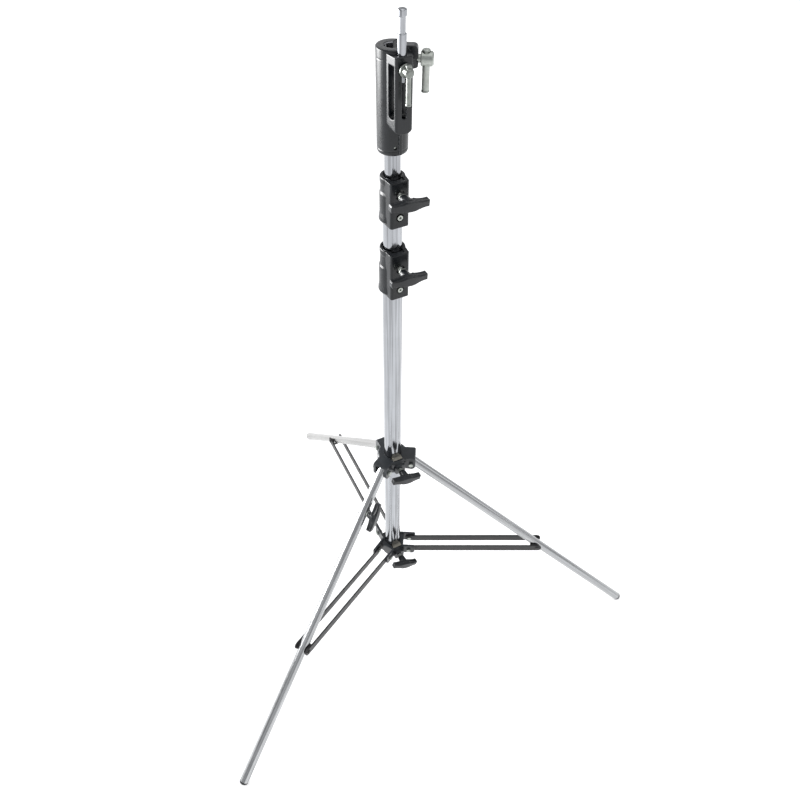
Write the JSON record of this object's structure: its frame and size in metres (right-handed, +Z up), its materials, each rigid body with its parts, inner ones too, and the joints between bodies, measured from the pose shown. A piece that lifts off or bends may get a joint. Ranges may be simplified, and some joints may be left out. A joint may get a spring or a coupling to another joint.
{
  "type": "combo_stand",
  "caption": "Black and chrome three-section steel lighting stand with folding legs, a levelling leg, T-handle clamps and a combination head with a 28 mm receiver and a 16 mm spigot.",
  "frame": {"origin": "on the column's axis at floor level, between the three feet", "axes": "+Z up along the column; -Y is the side the clamp screws and the spigot face; +X is to the right of someone facing the clamps"},
  "size_m": [1.3144, 1.1413, 1.8265],
  "materials": {
    "chrome": "polished plate on steel tube",
    "black_casting": "black semi-gloss powder coat on cast metal",
    "black_steel": "black satin paint on flat steel",
    "black_plastic": "moulded black plastic, fine grain",
    "zinc_steel": "bright zinc plate",
    "brass": "plain machined"
  },
  "bodies": {
    "base": {"base_tube": "chrome", "base_tube_plug": "black_plastic", "base_collar": "black_casting", "base_collar_pad": "brass", "base_collar_set_screw": "zinc_steel", "lower_hub": "black_casting", "lower_hub_plate": "zinc_steel", "brace_a_left_pivot": "zinc_steel", "brace_a_right_pivot": "zinc_steel", "brace_b_left_pivot": "zinc_steel", "brace_b_right_pivot": "zinc_steel", "brace_c_left_pivot": "zinc_steel", "brace_c_right_pivot": "zinc_steel"},
    "base_collar_knob": {"base_collar_handle": "black_plastic", "base_collar_screw": "zinc_steel"},
    "lower_hub_knob": {"lower_hub_handle": "black_plastic", "lower_hub_screw": "zinc_steel"},
    "upper_hub": {"upper_hub": "black_casting", "upper_hub_plate": "zinc_steel", "leg_a_pivot_bolt": "zinc_steel", "leg_b_pivot_bolt": "zinc_steel", "leg_c_pivot_bolt": "zinc_steel"},
    "upper_hub_knob": {"upper_hub_handle": "black_plastic", "upper_hub_screw": "zinc_steel"},
    "leg_a": {"leg_a_tube": "chrome", "leg_a_bracket": "black_steel", "leg_a_brace_pin": "zinc_steel"},
    "leg_b": {"leg_b_tube": "chrome", "leg_b_foot": "black_plastic", "leg_b_bracket": "black_steel", "leg_b_brace_pin": "zinc_steel"},
    "leg_c": {"leg_c_tube": "chrome", "leg_c_foot": "black_plastic", "leg_c_bracket": "black_steel", "leg_c_brace_pin": "zinc_steel"},
    "levelling_leg": {"levelling_inner_tube": "chrome", "leg_a_foot": "black_plastic"},
    "levelling_knob": {"levelling_handle": "black_plastic", "levelling_screw": "zinc_steel"},
    "brace_a_left": {"brace_a_left": "black_steel"},
    "brace_a_right": {"brace_a_right": "black_steel"},
    "brace_b_left": {"brace_b_left": "black_steel"},
    "brace_b_right": {"brace_b_right": "black_steel"},
    "brace_c_left": {"brace_c_left": "black_steel"},
    "brace_c_right": {"brace_c_right": "black_steel"},
    "riser_1": {"riser_1_tube": "chrome", "riser_collar": "black_casting", "riser_collar_pad": "brass", "riser_collar_set_screw": "zinc_steel"},
    "riser_collar_knob": {"riser_collar_handle": "black_plastic", "riser_collar_screw": "zinc_steel"},
    "riser_2": {"riser_2_tube": "chrome", "riser_2_guide_bush": "black_plastic", "head_casting": "black_casting", "head_set_screw": "zinc_steel"},
    "spigot": {"spigot": "chrome"},
    "spigot_lock": {"spigot_lock_screw": "zinc_steel"},
    "spigot_lock_bar": {"spigot_lock_bar": "zinc_steel"},
    "receiver_lock": {"receiver_lock_screw": "zinc_steel"},
    "receiver_lock_bar": {"receiver_lock_bar": "zinc_steel"}
  },
  "joints": [
    {"name": "upper_hub_slide", "type": "slide", "parent": "base", "child": "upper_hub", "axis": [0, 0, 1], "range_m": [0, 0.5269]},
    {"name": "leg_a_fold", "type": "hinge", "parent": "upper_hub", "child": "leg_a", "pos_m": [-0.04417, -0.0255, 0.666], "axis": [0.5, -0.866, 0], "range_deg": [0, 46.76]},
    {"name": "brace_a_left_fold", "type": "hinge", "parent": "base", "child": "brace_a_left", "pos_m": [-0.04417, -0.0255, 0.259], "axis": [0.5, -0.866, 0], "range_deg": [-84.81, 0]},
    {"name": "brace_a_right_fold", "type": "hinge", "parent": "base", "child": "brace_a_right", "pos_m": [-0.04417, -0.0255, 0.259], "axis": [0.5, -0.866, 0], "range_deg": [-84.81, 0]},
    {"name": "leg_b_fold", "type": "hinge", "parent": "upper_hub", "child": "leg_b", "pos_m": [0.04417, -0.0255, 0.666], "axis": [0.5, 0.866, 0], "range_deg": [0, 46.76]},
    {"name": "brace_b_left_fold", "type": "hinge", "parent": "base", "child": "brace_b_left", "pos_m": [0.04417, -0.0255, 0.259], "axis": [0.5, 0.866, 0], "range_deg": [-84.81, 0]},
    {"name": "brace_b_right_fold", "type": "hinge", "parent": "base", "child": "brace_b_right", "pos_m": [0.04417, -0.0255, 0.259], "axis": [0.5, 0.866, 0], "range_deg": [-84.81, 0]},
    {"name": "leg_c_fold", "type": "hinge", "parent": "upper_hub", "child": "leg_c", "pos_m": [0, 0.051, 0.666], "axis": [-1, 0, 0], "range_deg": [0, 46.76]},
    {"name": "brace_c_left_fold", "type": "hinge", "parent": "base", "child": "brace_c_left", "pos_m": [0, 0.051, 0.259], "axis": [-1, 0, 0], "range_deg": [-84.81, 0]},
    {"name": "brace_c_right_fold", "type": "hinge", "parent": "base", "child": "brace_c_right", "pos_m": [0, 0.051, 0.259], "axis": [-1, 0, 0], "range_deg": [-84.81, 0]},
    {"name": "riser_1_slide", "type": "slide", "parent": "base", "child": "riser_1", "axis": [0, 0, 1], "range_m": [-0.06, 0.85]},
    {"name": "riser_2_slide", "type": "slide", "parent": "riser_1", "child": "riser_2", "axis": [0, 0, 1], "range_m": [-0.05, 0.85]},
    {"name": "levelling_leg_slide", "type": "slide", "parent": "leg_a", "child": "levelling_leg", "axis": [-0.6299, -0.3637, -0.6863], "range_m": [0, 0.029]},
    {"name": "spigot_slide", "type": "slide", "parent": "riser_2", "child": "spigot", "axis": [0, 0, 1], "range_m": [-0.08, 0]},
    {"name": "base_collar_knob_turn", "type": "hinge", "parent": "base", "child": "base_collar_knob", "pos_m": [0, -0.045, 1.315], "axis": [0, -1, 0], "range_deg": [0, 720]},
    {"name": "lower_hub_knob_turn", "type": "hinge", "parent": "base", "child": "lower_hub_knob", "pos_m": [0, -0.045, 0.253], "axis": [0, -1, 0], "range_deg": [0, 720]},
    {"name": "upper_hub_knob_turn", "type": "hinge", "parent": "upper_hub", "child": "upper_hub_knob", "pos_m": [0, -0.045, 0.666], "axis": [0, -1, 0], "range_deg": [0, 720]},
    {"name": "riser_collar_knob_turn", "type": "hinge", "parent": "riser_1", "child": "riser_collar_knob", "pos_m": [0, -0.045, 1.487], "axis": [0, -1, 0], "range_deg": [0, 720]},
    {"name": "levelling_knob_turn", "type": "hinge", "parent": "levelling_leg", "child": "levelling_knob", "pos_m": [-0.11353, -0.08864, 0.57953], "axis": [0.5, -0.866, 0], "range_deg": [0, 720]},
    {"name": "spigot_lock_turn", "type": "hinge", "parent": "spigot", "child": "spigot_lock", "pos_m": [0, -0.055, 1.732], "axis": [0, -1, 0], "range_deg": [0, 720]},
    {"name": "spigot_lock_bar_slide", "type": "slide", "parent": "spigot_lock", "child": "spigot_lock_bar", "axis": [0, 0, 1], "range_m": [0, 0.04]},
    {"name": "receiver_lock_turn", "type": "hinge", "parent": "riser_2", "child": "receiver_lock", "pos_m": [0.04763, -0.0275, 1.736], "axis": [0.866, -0.5, 0], "range_deg": [0, 720]},
    {"name": "receiver_lock_bar_slide", "type": "slide", "parent": "receiver_lock", "child": "receiver_lock_bar", "axis": [0, 0, 1], "range_m": [0, 0.04]}
  ],
  "couplings": [
    {"joint": "leg_a_fold", "follows": "upper_hub_slide", "rad_per_m": 1.5441},
    {"joint": "brace_a_left_fold", "follows": "upper_hub_slide", "rad_per_m": -2.803},
    {"joint": "brace_a_right_fold", "follows": "upper_hub_slide", "rad_per_m": -2.803},
    {"joint": "leg_b_fold", "follows": "upper_hub_slide", "rad_per_m": 1.5441},
    {"joint": "brace_b_left_fold", "follows": "upper_hub_slide", "rad_per_m": -2.803},
    {"joint": "brace_b_right_fold", "follows": "upper_hub_slide", "rad_per_m": -2.803},
    {"joint": "leg_c_fold", "follows": "upper_hub_slide", "rad_per_m": 1.5441},
    {"joint": "brace_c_left_fold", "follows": "upper_hub_slide", "rad_per_m": -2.803},
    {"joint": "brace_c_right_fold", "follows": "upper_hub_slide", "rad_per_m": -2.803}
  ]
}
